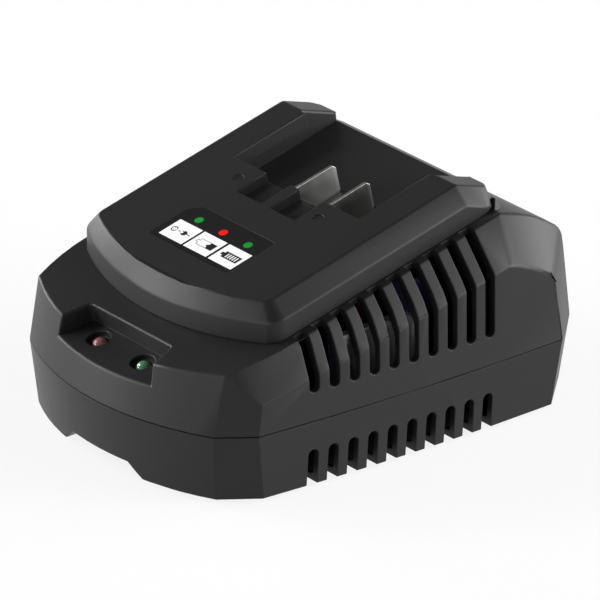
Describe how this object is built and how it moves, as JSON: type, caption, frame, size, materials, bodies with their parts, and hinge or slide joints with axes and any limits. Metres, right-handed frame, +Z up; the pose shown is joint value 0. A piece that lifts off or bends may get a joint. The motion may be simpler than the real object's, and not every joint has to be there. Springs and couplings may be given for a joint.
{
  "type": "power tool battery charger",
  "caption": "Black desktop charger for slide-on power tool batteries, with a tilted dock, vented housing and indicator lamps.",
  "frame": {"origin": "on the table, under the middle of the object's bounding box", "axes": "+X to the right seen from the lamps, +Y from the lamps to the rear wall, +Z up"},
  "size_m": [0.1138, 0.1424, 0.072],
  "materials": {
    "housing_plastic": "fine matte grain, black",
    "dock_plastic": "fine matte grain, black",
    "label_film": "satin printed film",
    "carrier_plastic": "smooth black",
    "terminal_metal": "plated sheet, brushed",
    "screw_steel": "zinc plated",
    "black_steel": "black oxide",
    "lead_sleeve": "smooth insulation",
    "red_lens": "clear tinted resin",
    "green_lens": "clear tinted resin",
    "circuit_board": "lacquered laminate",
    "ferrite": "sintered, matte",
    "bobbin_plastic": "moulded, cream",
    "winding_tape": "wrapped yellow tape",
    "copper_wire": "enamelled wire",
    "capacitor_sleeve": "shrink sleeve",
    "film_case": "moulded case",
    "black_resin": "moulded resin",
    "fuse_case": "moulded case",
    "sink_aluminium": "extruded, plain",
    "foot_rubber": "matte"
  },
  "bodies": {
    "root": {"lower_housing": "housing_plastic", "upper_housing": "housing_plastic", "battery_dock": "dock_plastic", "label_panel": "label_film", "terminal_block": "carrier_plastic", "middle_blade": "terminal_metal", "side_blade": "terminal_metal", "terminal_screws": "screw_steel", "terminal_leads": "lead_sleeve", "red_lamp": "red_lens", "green_lamp": "green_lens", "lamp_board": "circuit_board", "lamp_board_screws": "screw_steel", "lamp_leads": "lead_sleeve", "main_board": "circuit_board", "board_screws": "screw_steel", "transformer_core": "ferrite", "transformer_bobbin": "bobbin_plastic", "transformer_winding": "winding_tape", "bulk_capacitor": "capacitor_sleeve", "output_capacitors": "capacitor_sleeve", "film_capacitor": "film_case", "bridge_rectifier": "black_resin", "fuse": "fuse_case", "choke_core": "ferrite", "choke_winding": "copper_wire", "transistor_heat_sink": "sink_aluminium", "power_transistor": "black_resin", "diode_heat_sink": "sink_aluminium", "power_diode": "black_resin", "control_chips": "black_resin", "inlet_socket": "black_resin", "inlet_pins": "terminal_metal", "inlet_leads": "lead_sleeve", "housing_screws": "black_steel", "dock_screws": "screw_steel", "rubber_feet": "foot_rubber"}
  },
  "joints": []
}
